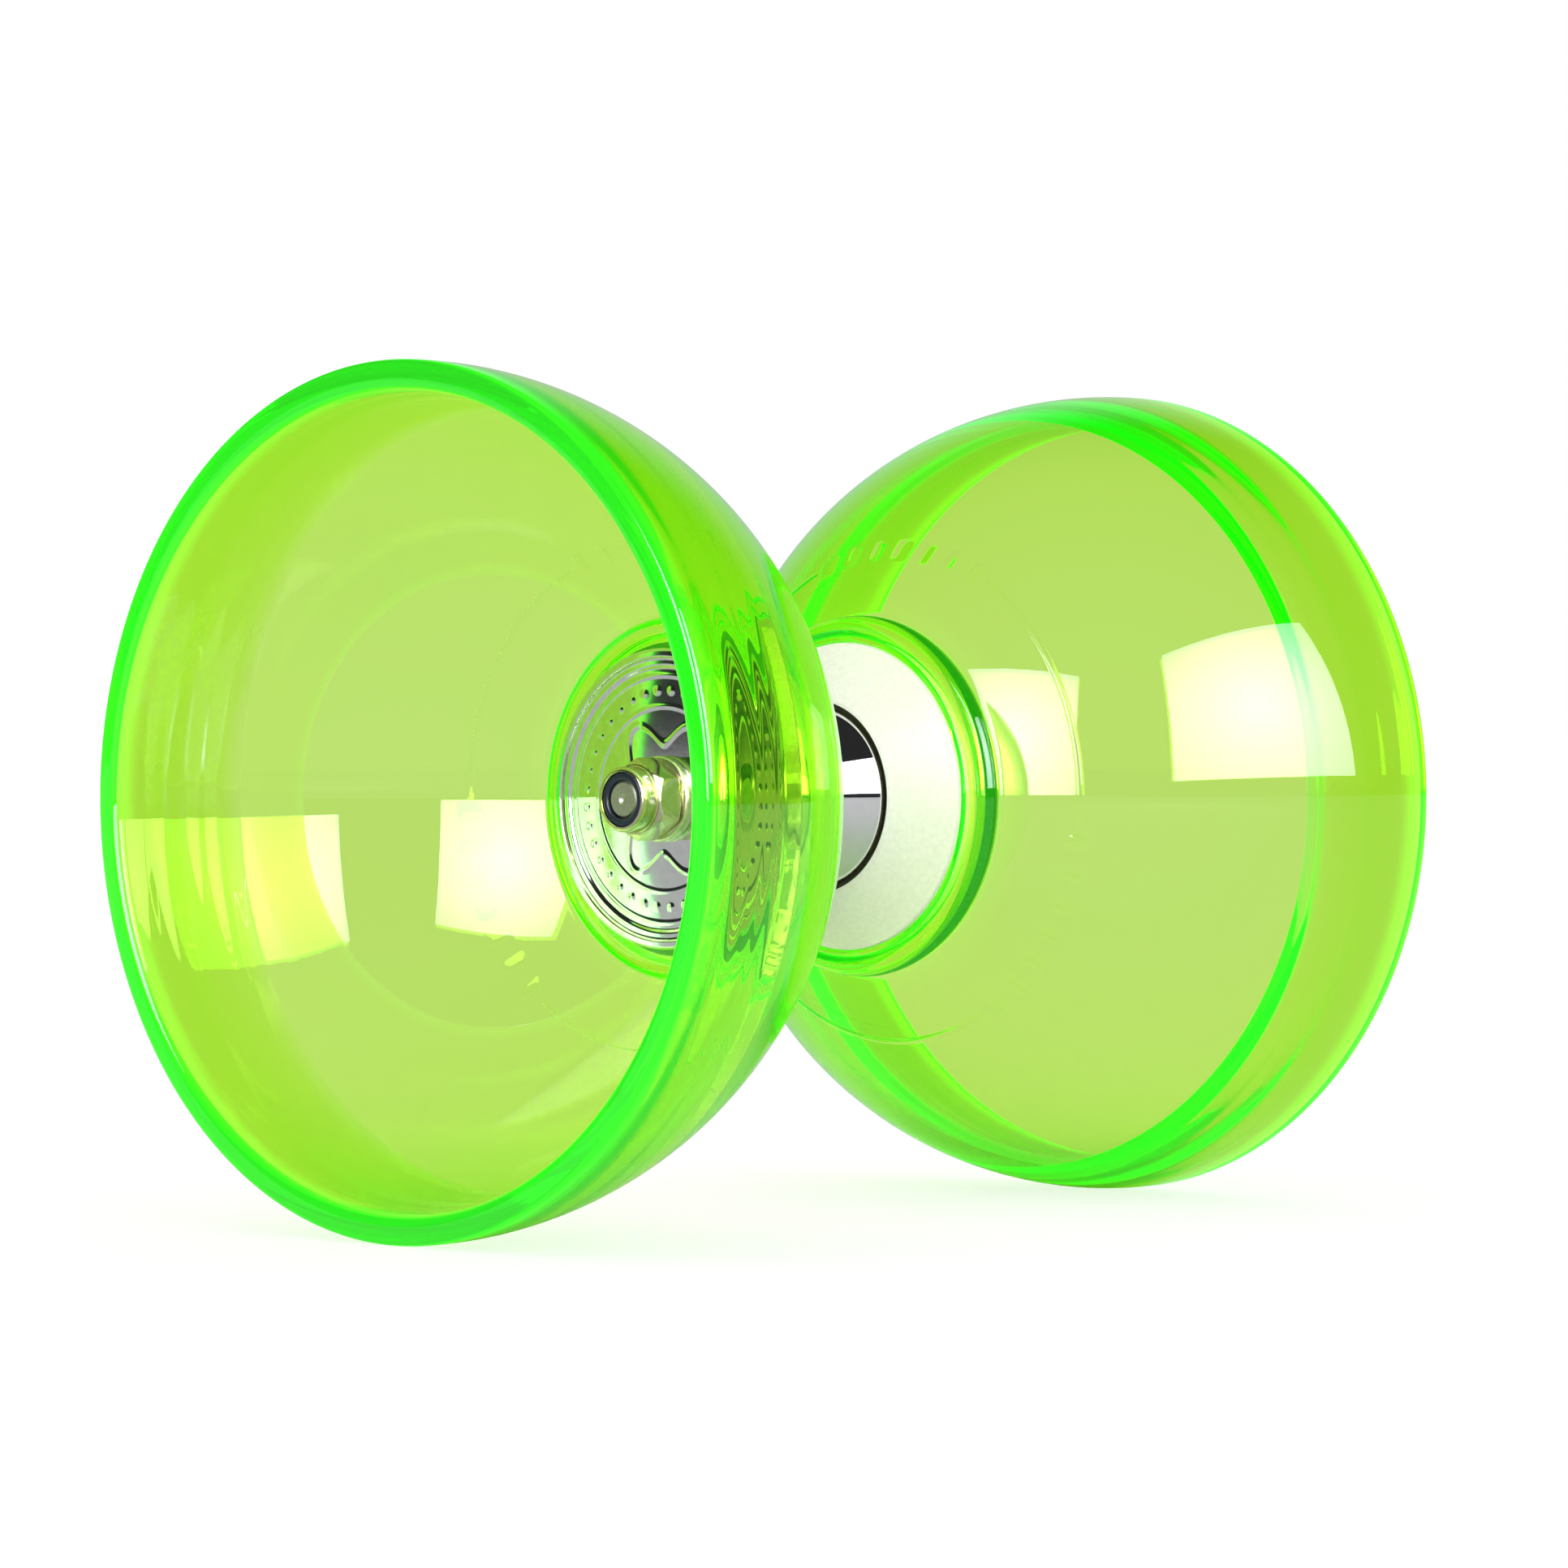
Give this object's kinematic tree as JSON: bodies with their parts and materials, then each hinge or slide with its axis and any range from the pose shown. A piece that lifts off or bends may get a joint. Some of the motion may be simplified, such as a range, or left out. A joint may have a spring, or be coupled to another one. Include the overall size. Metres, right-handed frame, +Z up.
{
  "type": "diabolo",
  "caption": "Bearing diabolo: two clear green bowls back to back on an axle, with a chrome barrel between them that turns freely for the string.",
  "frame": {"origin": "centre of the chrome barrel, on the spin axis, which is the centre of the whole part", "axes": "+X along the spin axis towards the right cup, +Z up, so the part lies on the rims of both cups"},
  "size_m": [0.149, 0.118, 0.118],
  "materials": {
    "cup_plastic": "clear lime-green flexible plastic, glossy",
    "hub_plastic": "ivory-white, satin",
    "clamp_alloy": "pressed, polished",
    "nut_zinc": "yellow zinc plate",
    "nut_insert_plastic": "dark blue",
    "washer_zinc": "yellow zinc plate",
    "stud_steel": "cut end, dull",
    "barrel_chrome": "mirror chrome",
    "race_steel": "ground",
    "ball_steel": "polished",
    "cage_brass": "pressed",
    "shield_steel": "pressed",
    "spacer_alloy": "turned"
  },
  "bodies": {
    "cups": {"cup_left": "cup_plastic", "cup_right": "cup_plastic", "hub_left": "hub_plastic", "hub_right": "hub_plastic", "clamp_disc_left": "clamp_alloy", "clamp_disc_right": "clamp_alloy", "lock_nut_left": "nut_zinc", "lock_nut_right": "nut_zinc", "nut_insert_left": "nut_insert_plastic", "nut_insert_right": "nut_insert_plastic", "washer_left": "washer_zinc", "washer_right": "washer_zinc", "axle_stud": "stud_steel", "spacer_sleeve": "spacer_alloy", "thrust_spacer_left": "spacer_alloy", "thrust_spacer_right": "spacer_alloy", "inner_race_left": "race_steel", "inner_race_right": "race_steel"},
    "barrel": {"barrel": "barrel_chrome", "outer_race_left": "race_steel", "outer_race_right": "race_steel", "bearing_shields_left": "shield_steel", "bearing_shields_right": "shield_steel"},
    "balls_left": {"bearing_balls_left": "ball_steel", "bearing_cage_left": "cage_brass"},
    "balls_right": {"bearing_balls_right": "ball_steel", "bearing_cage_right": "cage_brass"}
  },
  "joints": [
    {"name": "barrel_spin", "type": "hinge", "parent": "cups", "child": "barrel", "pos_m": [0, 0, 0], "axis": [1, 0, 0], "continuous": true},
    {"name": "balls_left_spin", "type": "hinge", "parent": "cups", "child": "balls_left", "pos_m": [-0.00535, 0, 0], "axis": [1, 0, 0], "continuous": true},
    {"name": "balls_right_spin", "type": "hinge", "parent": "cups", "child": "balls_right", "pos_m": [0.00535, 0, 0], "axis": [1, 0, 0], "continuous": true}
  ],
  "couplings": [
    {"joint": "balls_left_spin", "follows": "barrel_spin", "ratio": 0.6336},
    {"joint": "balls_right_spin", "follows": "barrel_spin", "ratio": 0.6336}
  ]
}
